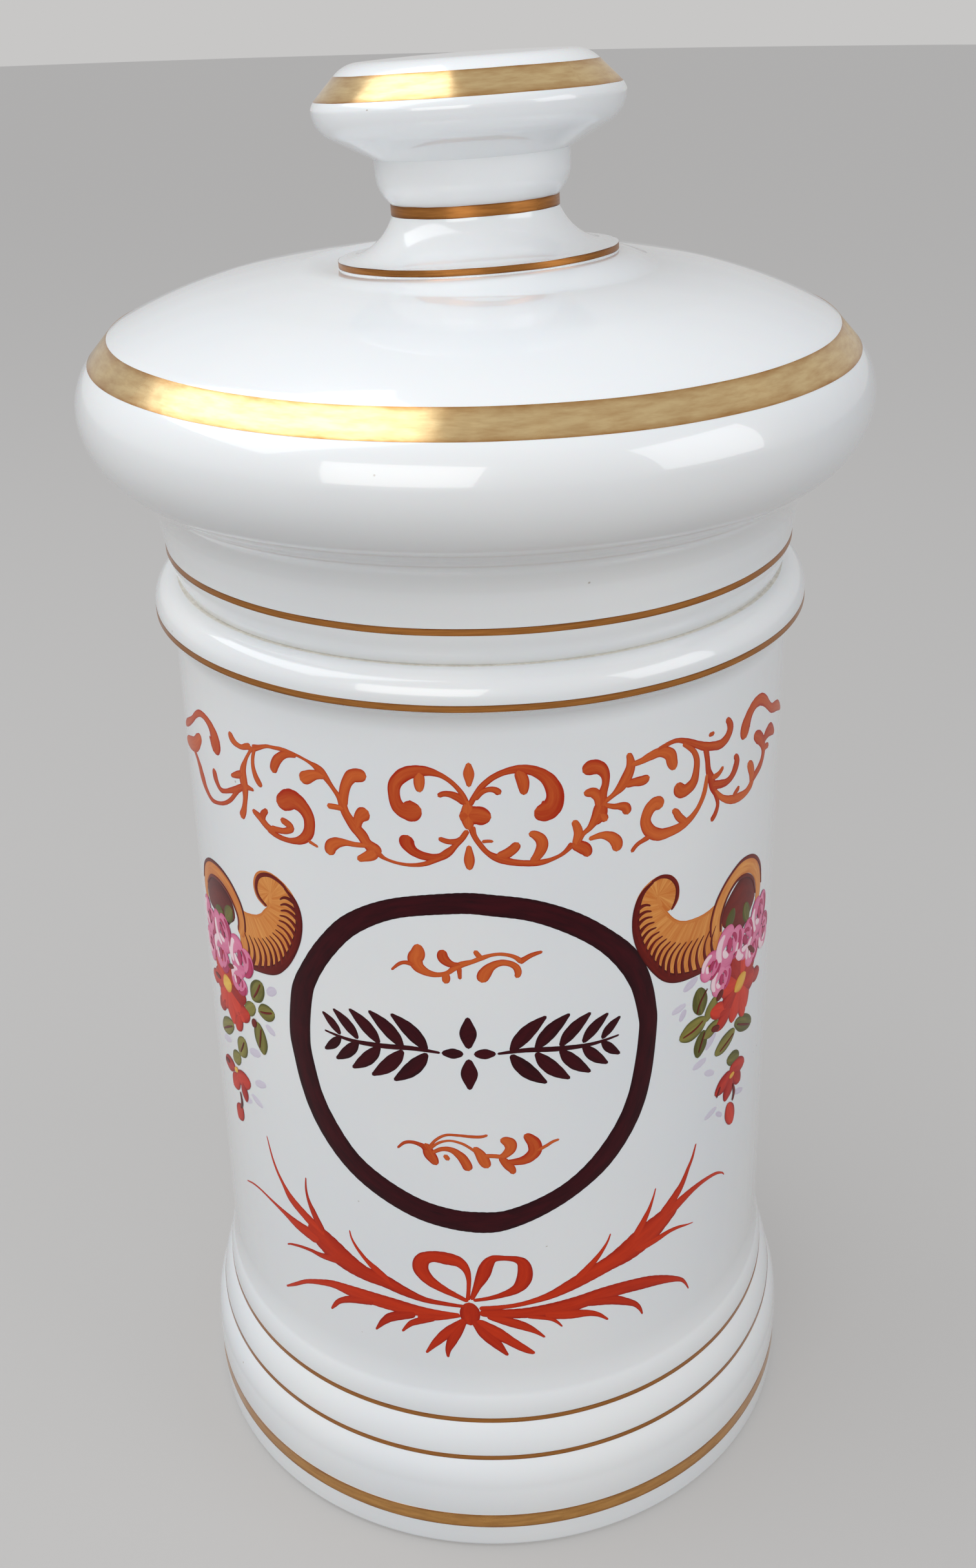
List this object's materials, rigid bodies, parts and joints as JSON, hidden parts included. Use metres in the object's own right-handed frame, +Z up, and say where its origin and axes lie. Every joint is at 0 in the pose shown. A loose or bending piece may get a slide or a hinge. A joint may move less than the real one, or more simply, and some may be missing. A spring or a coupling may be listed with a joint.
{
  "type": "covered apothecary jar",
  "caption": "Covered porcelain apothecary jar with a stepped foot, a rolled collar, a domed cover that lifts off by its disc knob, and fired gilt lines.",
  "frame": {"origin": "centre of the foot on the table", "axes": "+Z up along the jar's axis, -Y towards the painted front, +X to the front's right"},
  "size_m": [0.139, 0.139, 0.2755],
  "materials": {
    "glazed_porcelain": "clear glossy glaze over white hard porcelain, bare and matt where the jar and the cover rest",
    "gilding": "fired gold, burnished bright, brown where the line is thin",
    "iron_red_enamel": "hand-painted overglaze enamel, orange-red to deep iron red, glossy",
    "maroon_enamel": "hand-painted overglaze enamel, brown-purple, glossy",
    "flower_enamel": "hand-painted overglaze enamels in rose, red, yellow and lilac, glossy",
    "leaf_enamel": "hand-painted overglaze enamel, olive green, glossy"
  },
  "bodies": {
    "jar_body": {"jar": "glazed_porcelain", "foot_lower_gilt_band": "gilding", "foot_middle_gilt_line": "gilding", "foot_upper_gilt_line": "gilding", "collar_gilt_line": "gilding"},
    "lid": {"lid_cover": "glazed_porcelain", "lid_knob": "glazed_porcelain", "skirt_gilt_line": "gilding", "cover_gilt_band": "gilding", "knob_foot_gilt_line": "gilding", "knob_neck_gilt_line": "gilding", "knob_rim_gilt_band": "gilding"}
  },
  "joints": [
    {"name": "lid_lift", "type": "slide", "parent": "jar_body", "child": "lid", "axis": [0, 0, 1], "range_m": [0, 0.06]}
  ]
}
